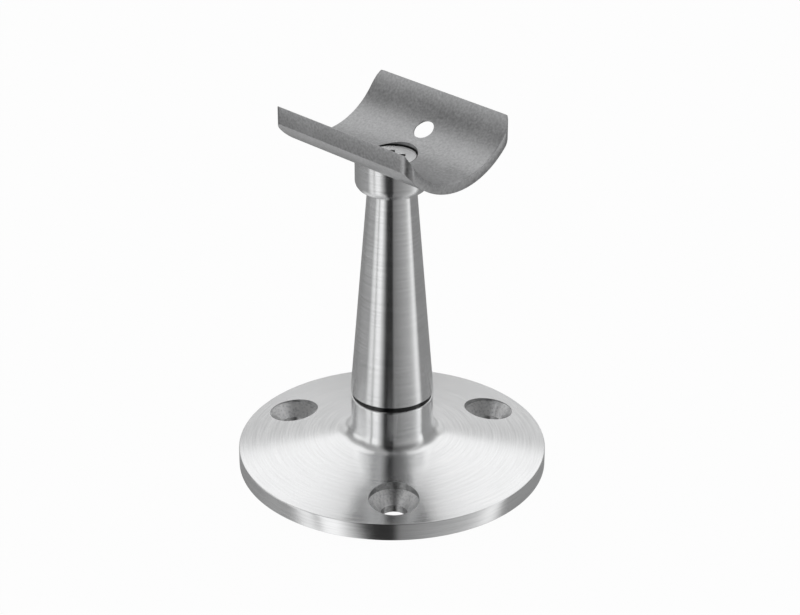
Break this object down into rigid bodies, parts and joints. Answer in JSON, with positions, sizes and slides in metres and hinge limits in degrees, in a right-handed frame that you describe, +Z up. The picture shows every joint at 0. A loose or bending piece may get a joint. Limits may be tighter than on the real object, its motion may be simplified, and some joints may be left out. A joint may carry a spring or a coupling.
{
  "type": "handrail saddle post",
  "caption": "Turned stainless post on a round floor flange, holding a round handrail in a bent saddle plate screwed to a milled collar",
  "frame": {"origin": "centre of the floor flange's underside", "axes": "+Z up along the post's axis, X along the handrail, +Y towards the saddle wing with the rail screw hole"},
  "size_m": [0.1, 0.1, 0.1227],
  "materials": {
    "turned_steel_flange": "fine concentric turning marks, satin bright",
    "stud_steel": "plain, hidden inside",
    "turned_steel_post": "fine turning marks, satin bright",
    "turned_steel_collar": "fine turning marks, satin bright",
    "blasted_steel": "matte, fine grained",
    "screw_steel": "bright satin head"
  },
  "bodies": {
    "root": {"base_flange": "turned_steel_flange", "joining_stud": "stud_steel", "tapered_post": "turned_steel_post", "saddle_collar": "turned_steel_collar", "saddle_plate": "blasted_steel", "saddle_screw": "screw_steel"}
  },
  "joints": []
}
